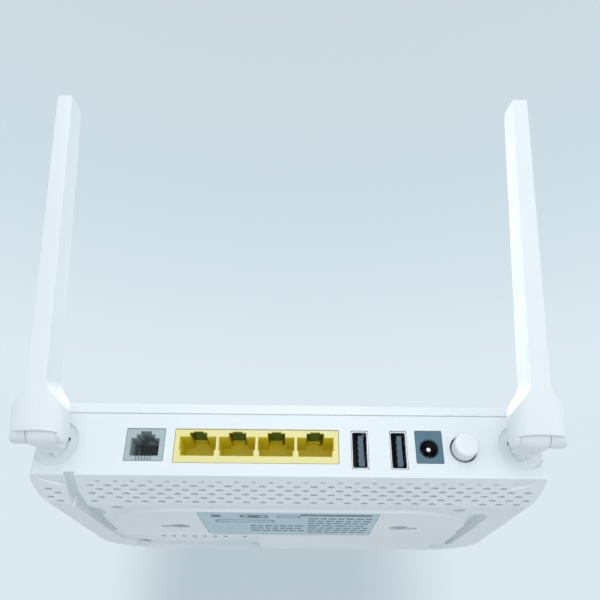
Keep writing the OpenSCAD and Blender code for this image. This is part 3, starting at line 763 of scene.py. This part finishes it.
def make_label():
    low, high = box_mm("label_sticker")
    outline = rect_outline(low[0], high[0], low[1], high[1], 2)
    label = add_object("label_panel", prism(outline, "z", low[2], high[2]))
    tidy(label, 30, bevel=0.05)
    adopt(label, label_film, "case", "label", "label_sticker")
    x, y = high[0], high[1]
    rows = []
    # words stand in as broken bars, so nothing can be read
    for line in range(7):
        start, depth = x - 41, y - 9.5 - line * 4.6
        while start > low[0] + 4:
            width = 2.2 + (line * 7 + int(-start * 3)) % 4 * 0.8
            rows.append((start - width, start, depth - 1.7, depth))
            start -= width + 0.8
    rows.append((low[0] + 2.5, x - 38, y - 5.5, y - 2.8))
    for line in range(3):
        start, depth = x - 18, y - 24 - line * 5
        while start > x - 39:
            width = 1.8 + (line * 5 + int(start * 2)) % 3 * 0.9
            rows.append((start - width, start, depth - 1.9, depth))
            start -= width + 0.7
    rows.append((x - 8, x - 4.5, y - 8.5, y - 4.5))
    print_low, print_high = low[2] - 0.03, low[2] + 0.02
    ink = add_object("label_print", bars(rows, print_low, print_high))
    # outlined boxes and an oval stand in for the marks
    marks = bmesh.new()
    frames = ((x - 26, x - 15, y - 9.5, y - 4, 1.1), (x - 28, x - 5, y - 18, y - 13.4, 0.7),
              (x - 38, x - 29, y - 9, y - 5, 0.6))
    for x0, x1, y0, y1, thick in frames:
        radius = (y1 - y0) / 2 - 0.05
        outer = rect_outline(x0, x1, y0, y1, radius, 8)
        inner = rect_outline(x0 + thick, x1 - thick, y0 + thick, y1 - thick, radius - thick * 0.9, 8)
        rows_of = [[marks.verts.new((u, v, w)) for u, v in line] for line, w in
                   ((outer, print_low), (outer, print_high), (inner, print_high), (inner, print_low))]
        for near, far in zip(rows_of, rows_of[1:] + rows_of[:1]):
            for k in range(len(near)):
                after = (k + 1) % len(near)
                marks.faces.new((near[k], near[after], far[after], far[k]))
    prism(rect_outline(x - 23, x - 18, y - 8, y - 5.6, 1.0), "z", print_low, print_high, marks)
    adopt(tidy(add_object("label_marks", marks), 30), label_ink, "case", "label")
    adopt(tidy(ink, 30), label_ink, "case", "label")


def make_feet():
    for side, name in ((1, "right"), (-1, "left")):
        foot = add_object("foot_" + name, lathe([(0, 2.2), (0.12, 2.6), (0.4, 2.85), (1.8, 2.9)], "z",
                                                (FOOT[0] * side, FOOT[1], 0), 40))
        adopt(tidy(foot, 40), foot_grey, "case", "foot", *(["front_feet"] if side > 0 else []))


def make_case_screws():
    low, high = box_mm("case_screws")
    for side, name in ((1, "right"), (-1, "left")):
        place_xy = (WELL[0] * side, WELL[1], 0)
        profile = [(low[2], 1.4), (low[2] + 0.35, 1.85), (low[2] + 1.6, 2.0), (low[2] + 2.2, 2.0),
                   (low[2] + 2.21, 1.3), (high[2], 1.3)]
        screw = add_object("case_screw_" + name, lathe(profile, "z", place_xy, 36))
        for across, along in ((1.2, 0.3), (0.3, 1.2)):
            cut(screw, prism(rect_outline(place_xy[0] - across, place_xy[0] + across,
                                          WELL[1] - along, WELL[1] + along), "z", low[2] - 1, low[2] + 0.9))
        adopt(tidy(screw, 35), steel, "case", "steel", *(["case_screws"] if side > 0 else []))


# ---------------- sockets
def block(name, node, corner=0.3):
    low, high = box_mm(node)
    outline = rect_outline(low[0], high[0], low[2], high[2], corner, 4)
    return add_object(name, prism(outline, "y", low[1], high[1])), low, high


def make_network_block():
    body, low, high = block("network_socket_block", "lan_socket_block")
    face = high[1]
    centre = (low[0] + high[0]) / 2
    floor_z = low[2] + 2.5
    for i in (-1.5, -0.5, 0.5, 1.5):
        x = centre + i * NETWORK_PITCH

        def mouth(grow, x=x):
            g = grow
            right = [(5.95 + g, floor_z - g), (5.95 + g, floor_z + 2), (6.45 + g, floor_z + 2),
                     (6.45 + g, floor_z + 6.8 + g), (3.1 + g, floor_z + 6.8 + g),
                     (3.1 + g, floor_z + 8.3 + g), (1.7 + g, floor_z + 8.3 + g),
                     (1.7 + g, floor_z + 8.75 + g)]
            return [(x + u, v) for u, v in right] + [(x - u, v) for u, v in reversed(right)]

        cut(body, flared_hole(mouth, face, 14.9, 0.2))
        # open to the board behind the thin front bar
        cut(body, prism(rect_outline(x - 3.0, x + 3.0, floor_z + 6, BOARD_Z + 1), "y", face - 12, face - 0.8))
        # comb of contact slots in the floor and the rear wall
        for k in range(8):
            slot_x = x + (k - 3.5) * CONTACT_PITCH
            cut(body, prism(rect_outline(slot_x - 0.28, slot_x + 0.28, floor_z - 0.5, floor_z + 0.1),
                            "y", face - 14, face - 2.6))
    tidy(body, 30, bevel=0.08)
    adopt(body, yellow, "case", "yellow_plastic", "lan_socket_block")
    # the faces inside the mouths take the copy with painted glow and painted shade
    body.data.materials.append(yellow_painted_glow_and_shade)
    for face_part in body.data.polygons:
        if face_part.center.y < (face - 0.35) * MM:
            face_part.material_index = 1


def make_phone_socket():
    body, low, high = block("telephone_socket", "phone_socket")
    face = high[1]
    x = (low[0] + high[0]) / 2
    floor_z = low[2] + 1.8

    def mouth(grow):
        g = grow
        right = [(5.0 + g, floor_z - g), (5.0 + g, floor_z + 6.3 + g), (3.3 + g, floor_z + 6.3 + g),
                 (3.3 + g, floor_z + 7.6 + g), (1.9 + g, floor_z + 7.6 + g), (1.9 + g, floor_z + 8.8 + g)]
        return [(x + u, v) for u, v in right] + [(x - u, v) for u, v in reversed(right)]

    cut(body, flared_hole(mouth, face, 12, 0.18))
    for k in range(6):
        slot_x = x + (k - 2.5) * CONTACT_PITCH
        cut(body, prism(rect_outline(slot_x - 0.27, slot_x + 0.27, floor_z - 0.05, floor_z + 3.6),
                        "y", face - 13.2, face - 11.5))
        cut(body, prism(rect_outline(slot_x - 0.25, slot_x + 0.25, low[2] - 1, floor_z + 0.1),
                        "y", face - 0.7, face + 1))
        cut(body, prism(rect_outline(slot_x - 0.25, slot_x + 0.25, floor_z - 0.6, floor_z + 0.1),
                        "y", face - 11, face - 2.2))
    tidy(body, 30, bevel=0.07)
    adopt(body, grey, "case", "grey_plastic", "phone_socket")
    # dark contact block on the rear wall of the mouth, with six sprung wires in front of it
    comb_outline = rect_outline(x - 3.3, x + 3.3, floor_z - 0.3, floor_z + 6.1)
    comb = add_object("telephone_contact_block", prism(comb_outline, "y", face - 12.3, face - 8.2))
    for k in range(6):
        slot_x = x + (k - 2.5) * 1.05
        cut(comb, prism(rect_outline(slot_x - 0.3, slot_x + 0.3, floor_z, floor_z + 5.7), "y",
                        face - 8.6, face - 8))
    adopt(tidy(comb, 30, bevel=0.04), black, "case", "dark_plastic")
    wires = bmesh.new()
    path = ((face - 4.2, floor_z - 0.2), (face - 4.4, floor_z + 0.6), (face - 7.8, floor_z + 4.6),
            (face - 8.5, floor_z + 5.6))
    for k in range(6):
        left = x + (k - 2.5) * 1.05 - 0.2
        right = left + 0.4
        loft([[(left, y - 0.15, z), (right, y - 0.15, z), (right, y + 0.15, z + 0.1),
               (left, y + 0.15, z + 0.1)] for y, z in path], wires)
    adopt(tidy(add_object("telephone_contact_wires", wires), 30), steel, "case", "steel")


def make_usb(index):
    shell_node, tongue_node = "usb_shell_%d" % index, "usb_tongue_%d" % index
    low, high = box_mm(shell_node)
    low = (low[0] - 0.6, low[1], low[2])
    face = high[1]
    shell = add_object("usb_shell_metal_%d" % index,
                       prism(rect_outline(low[0], high[0], low[2], high[2], 0.7, 5), "y", low[1], face))

    def inside(grow):
        g = grow - 0.38
        return rect_outline(low[0] - g, high[0] + g, low[2] - g, high[2] + g, 0.45 + grow, 5)

    cut(shell, flared_hole(inside, face, face - low[1] - 1, 0.22))
    # two sprung leaves stand in from each wide side
    for x, way in ((low[0] + 0.35, 1), (high[0] - 0.35, -1)):
        for z in (low[2] + 3.6, high[2] - 3.6):
            sections = ((face - 9, 0.06), (face - 5, 0.36), (face - 4.4, 0.36), (face - 2.6, 0.06))
            leaf = loft([[(x, y, z - 0.9), (x, y, z + 0.9), (x + way * out, y, z + 0.7),
                          (x + way * out, y, z - 0.7)] for y, out in sections])
            cut(shell, leaf, how="UNION")
    tidy(shell, 32, bevel=0.05)
    adopt(shell, tin, "case", "tin", shell_node)

    low, high = box_mm(tongue_node)
    tongue_x = low[0] + 0.45
    face = high[1]
    back = face - 8.8
    tongue = add_object("usb_tongue_board_%d" % index,
                        prism(rect_outline(tongue_x, tongue_x + 1.8, low[2] + 0.7, high[2] - 0.7, 0.3, 4),
                              "y", back - 0.5, face))
    for k in (-1.5, -0.5, 0.5, 1.5):
        z = (low[2] + high[2]) / 2 + k * 2.3
        groove = rect_outline(tongue_x + 1.62, tongue_x + 3, z - 0.55, z + 0.55)
        cut(tongue, prism(groove, "y", back + 0.4, face - 0.5))
    tidy(tongue, 30, bevel=0.12)
    adopt(tongue, tongue_painted_sheen_blue, "case", "dark_plastic", tongue_node)
    plug = add_object("usb_back_%d" % index, prism(rect_outline(low[0], high[0], low[2], high[2], 0.4, 4),
                                                   "y", low[1], back))
    adopt(tidy(plug, 30), black, "case", "dark_plastic")


def make_power_socket():
    body, low, high = block("power_socket_body", "dc_socket_body", 0.25)
    face = high[1]
    pin_low, pin_high = box_mm("dc_socket_pin")
    x, z = (pin_low[0] + pin_high[0]) / 2, (pin_low[2] + pin_high[2]) / 2
    axis = (x, 0, z)
    cut(body, lathe([(face - 10, 3.25), (face - 0.5, 3.25), (face, 3.6), (face + 1, 3.7)], "y", axis, 64))
    cut(body, lathe([(face - 12, 1.6), (face - 9, 1.6)], "y", axis, 32))
    cut(body, prism(rect_outline(x - 1, x + 1, low[2] - 1, z - 2.6), "y", face - 9.5, face - 3))
    # mould line above the hole
    cut(body, prism(rect_outline(x - 1.1, x + 1.1, high[2] - 1.5, high[2] - 1.2), "y", face - 0.15, face + 1))
    tidy(body, 32, bevel=0.12)
    adopt(body, slate_painted_sheen, "case", "slate_plastic", "dc_socket_body")
    liner = add_object("power_socket_liner", lathe([(face - 9.9, 3.24), (face - 0.6, 3.24)], "y", axis, 64))
    cut(liner, lathe([(face - 9.6, 2.9), (face - 1.0, 2.95), (face - 0.5, 3.15)], "y", axis, 64))
    cut(liner, lathe([(face - 12, 1.65), (face - 9, 1.65)], "y", axis, 32))
    adopt(tidy(liner, 40), black, "case", "dark_plastic")
    profile = [(pin_low[1], 1.6), (pin_low[1] + 2, 1.6), (pin_low[1] + 2.01, 1.05),
               (pin_high[1] - 0.5, 1.05), (pin_high[1] - 0.15, 0.85), (pin_high[1], 0.45)]
    pin = add_object("power_socket_pin", lathe(profile, "y", axis, 32))
    adopt(tidy(pin, 40), tin, "case", "tin", "dc_socket_pin")


def make_power_button():
    low, high = box_mm("power_button")
    x, z = (low[0] + high[0]) / 2, (low[2] + high[2]) / 2
    cap_end, r = high[1], 4.3
    button = add_object("power_button_cap",
                        lathe([(low[1], 1.5), (REAR - 3.2, 1.5), (REAR - 3.19, r - 0.3), (REAR - 2.9, r),
                               (cap_end - 0.75, r), (cap_end - 0.4, r - 0.12), (cap_end - 0.15, r - 0.42),
                               (cap_end - 0.03, r - 0.95), (cap_end, r - 1.8), (cap_end - 0.05, 0.8),
                               (cap_end - 0.06, 0.05)], "y", (x, 0, z), 72))
    adopt(tidy(button, 50), white_button, "power_button_body", "button_plastic", "power_button")


# ---------------- swivels and antennas
TONGUE = ((4.1, 3.7), (3.8, 4.4), (3.1, 5.0), (2.0, 5.35), (0, 5.4), (-2.5, 5.2), (-4.6, 4.8), (-6.1, 4.3),
          (-6.6, 4.0), (-6.8, 3.6))


def tongue_profile(gap):
    """(place across the antenna from the swivel axis, radius) pairs of the folding tongue, grown by gap."""
    grown = [(x, r + gap) for x, r in TONGUE]
    return [(grown[0][0] + gap, grown[0][1])] + grown + [(grown[-1][0] - gap, grown[-1][1])]


def hinge_lathe(gap, x_shift=0.0, centre=(0, 0, 0)):
    """The round tongue about the fold axis, or with a gap the hollow that it turns in."""
    profile = [(x + x_shift, r) for x, r in (tongue_profile(gap) if gap else TONGUE)]
    return lathe(profile[::-1], "x", centre, 64)


def make_swivel(side, name):
    x0, z0 = SWIVEL[0], SWIVEL[2]
    swivel = add_object("swivel_joint_" + name, hinge_lathe(0, x0, (0, FOLD[1], z0)))
    out = [(REAR + 4.0, -5.3, 3.2, 4.1), (REAR + 6.4, -5.9, 3.5, 4.6), (FOLD[1], -5.9, 3.5, 4.6)]
    web = loft([place([(u, v, y) for u, v in rect_outline(x0 + a, x0 + b, z0 - h, z0 + h, 1.2, 5)], "y")
                for y, a, b, h in out])
    cut(swivel, web, how="UNION")
    # flange behind the wall, stem through it and collar outside
    turned = ((-3.7, 3.9), (-3.3, 4.3), (-2.35, 4.3), (-2.34, 3.8), (3.2, 3.8), (4.0, 4.8), (4.5, 5.2),
              (5.2, 5.2), (5.6, 4.8))
    collar = lathe([(REAR + out_by, r) for out_by, r in turned], "y", (x0, 0, z0), 64)
    cut(swivel, collar, how="UNION")
    # pointed rib under the stem
    rib = loft([place([(x0 + u * grow, z0 + v * grow, y) for u, v in
                       ((-3.9, -1.2), (-3.4, 0.5), (1.8, 0.5), (2.3, -2.6), (-1.0, -5.3))], "y")
                for y, grow in ((REAR - 1.1, 1.0), (REAR + 2.0, 0.92), (REAR + 4.3, 0.8))])
    cut(swivel, rib, how="UNION")
    cut(swivel, lathe([(-20, 1.65), (20, 1.65)], "x", (x0, FOLD[1], z0), 32))
    cut(swivel, lathe([(REAR - 5, 1.4), (REAR + 9.5, 1.4)], "y", (x0, 0, z0), 32))
    if side < 0:
        mirror_mesh(swivel)
    tidy(swivel, 34, bevel=0.15)
    adopt(swivel, white_antenna, "swivel_body_" + name, "antenna_plastic", "swivel_" + name)


def mirror_mesh(obj):
    obj.data.transform(Matrix.Scale(-1, 4, (1, 0, 0)))
    obj.data.flip_normals()


ROOT_HALF = 9.4           # half width at the root
BLADE_HALF = 3.25         # half width where the blade begins
TIP_HALF = 2.65           # half width at the tip
ROOT_DEEP = 6.8           # half depth at the root


def oval(x, half=ROOT_HALF):
    """How deep the oval root is at x, as a share of its depth at the middle."""
    power = 2.5
    return (1 - min(1, abs(x) / half) ** power) ** (1 / power)


def antenna_rings():
    """Sections of an antenna in its own frame: the fold pin along X at the origin, the tip up along Z."""
    levels = [0, 2.5] + [5 + k for k in range(13)] + [20, 30, 45, 60, 75, 90, 105, 112]
    levels += [ANTENNA_L - below for below in (4, 2.6, 1.5, 0.7, 0.25, 0)]
    rings = []
    count = 15
    for u in levels:
        if u <= 5:
            half = ROOT_HALF
        elif u <= 17:
            half = BLADE_HALF + (ROOT_HALF - BLADE_HALF) * (1 + math.cos(math.pi * (u - 5) / 12)) / 2
        else:
            half = BLADE_HALF + (TIP_HALF - BLADE_HALF) * (u - 17) / (ANTENNA_L - 17)
        back = ROOT_DEEP if u <= 12 else ROOT_DEEP + (5.9 - ROOT_DEEP) * (u - 12) / (ANTENNA_L - 12)
        front = ROOT_DEEP if u <= 12 else ROOT_DEEP + (4.1 - ROOT_DEEP) * (u - 12) / (ANTENNA_L - 16)
        over = u - (ANTENNA_L - 4)
        if over > 0:
            front -= 3.0 * (1 - math.sqrt(max(0, 1 - (over / 4) ** 2)))
        end = u - (ANTENNA_L - 0.7)
        if end > 0:
            soft = 0.5 * (1 - math.sqrt(max(0, 1 - (end / 0.7) ** 2)))
            half, back = half - soft, back - soft
        ring = []
        for depth, turn in ((back, 1), (-front, -1)):
            for k in range(count):
                phi = math.pi / 2 - math.pi * k / (count - 1)
                x = turn * half * math.sin(phi)
                y = depth * oval(x)
                z = u
                if u == 0:
                    # the lip is cut on a slant, lower at the front
                    z = -2.25 + (0.353 * y if y > 0 else 0.184 * y)
                ring.append((x, y, z))
        rings.append(ring)
    return rings


def make_antenna(side, name):
    body = add_object("antenna_solid", loft(antenna_rings()))
    shift = SWIVEL[0] - ANTENNA_X
    # round cheeks beside the tongue
    profile = [(-9.4, 3.4), (-8.9, 4.1), (-8.2, 4.45), (8.0, 4.5), (8.8, 4.2), (9.3, 3.5)]
    cheeks = add_object("cheeks", lathe(profile, "x", (0, 0, 0), 64))
    plan = []
    for k in range(64):
        a = 2 * math.pi * k / 64
        x = 9.35 * math.sin(a)
        plan.append((x, (6.75 if math.cos(a) >= 0 else -6.75) * oval(x, half=9.35)))
    cut(cheeks, prism(plan, "z", -6, 6), how="INTERSECT")
    cut(body, cheeks, how="UNION")
    cut(body, hinge_lathe(0.3, shift))
    low, high = shift - 7.25, shift + 4.55
    cut(body, loft([[(low, -12, z), (high, -12, z), (high, y, z), (low, y, z)]
                    for z, y in ((-12, 4.8), (1.2, 4.8), (1.21, 0), (4.9, 0))]))
    cut(body, lathe([(-7.6, 1.6), (7.6, 1.6)], "x", (0, 0, 0), 32))
    cut(body, prism(rect_outline(-1.4, 1.4, -3.4, 4.6), "z", 5, ANTENNA_L - 6))
    hinge = Matrix.Translation(Vector((ANTENNA_X, FOLD[1], FOLD[2])) * MM)
    at_rest = hinge @ Matrix.Rotation(-LEAN, 4, "X")
    for half, keep in (("outer", 1), ("inner", -1)):
        shell = add_object("antenna_shell_%s_%s" % (half, name), bmesh.new())
        bm = bmesh.new()
        bm.from_mesh(body.data)
        split = bmesh.ops.bisect_plane(bm, geom=bm.verts[:] + bm.edges[:] + bm.faces[:], dist=1e-7,
                                       plane_co=(0, 0, 0), plane_no=(-keep, 0, 0), clear_outer=True)
        edges = [e for e in split["geom_cut"] if isinstance(e, bmesh.types.BMEdge)]
        bmesh.ops.triangle_fill(bm, use_beauty=True, use_dissolve=True, edges=edges)
        bm.to_mesh(shell.data)
        bm.free()
        shell.data.transform(at_rest)
        if side < 0:
            mirror_mesh(shell)
        tidy(shell, 26, bevel=0.18)
        adopt(shell, white_antenna, "antenna_body_" + name, "antenna_plastic",
              "antenna_%s_shell_%s" % (half, name))
    bpy.data.objects.remove(body)


# ---------------- parts carried over from the frame
def dress(node, material, bevel=0.0):
    obj = frame["nodes"][node]
    obj.data.materials.clear()
    obj.data.materials.append(material)
    if bevel:
        mod = obj.modifiers.new("edge", "BEVEL")
        mod.width = bevel * MM
        mod.segments = 2
        mod.limit_method = "ANGLE"
        mod.angle_limit = math.radians(40)


def dress_frame_parts():
    dress("main_board", board_green)
    for node in ("processor_chip", "memory_chip", "flash_chip", "phone_line_chip", "lan_transformers",
                 "power_inductors", "power_switch", "reset_switch"):
        dress(node, chip_black, 0.15)
    dress("reset_plunger", black, 0.2)
    dress("heat_sink", aluminium, 0.1)
    dress("wifi_shield", tin, 0.1)
    dress("optical_module", tin, 0.15)
    dress("filter_capacitors", sleeve, 0.3)
    dress("status_leds", led_white, 0.08)
    dress("light_guide", clear, 0.1)
    dress("board_screws", steel)
    for node in ("lan_contacts", "phone_contacts", "usb_contacts_1", "usb_contacts_2"):
        dress(node, gold_dim)
    dress("dc_socket_spring", tin)
    for name in ("right", "left"):
        dress("antenna_cable_" + name, cable_grey)
        dress("fold_pin_" + name, steel)
        dress("antenna_element_" + name, board_green)


make_lower_cover()
make_upper_cover()
make_label()
make_feet()
make_case_screws()
make_network_block()
make_phone_socket()
make_usb(1)
make_usb(2)
make_power_socket()
make_power_button()
for _side, _name in ((1, "right"), (-1, "left")):
    make_swivel(_side, _name)
    make_antenna(_side, _name)
dress_frame_parts()
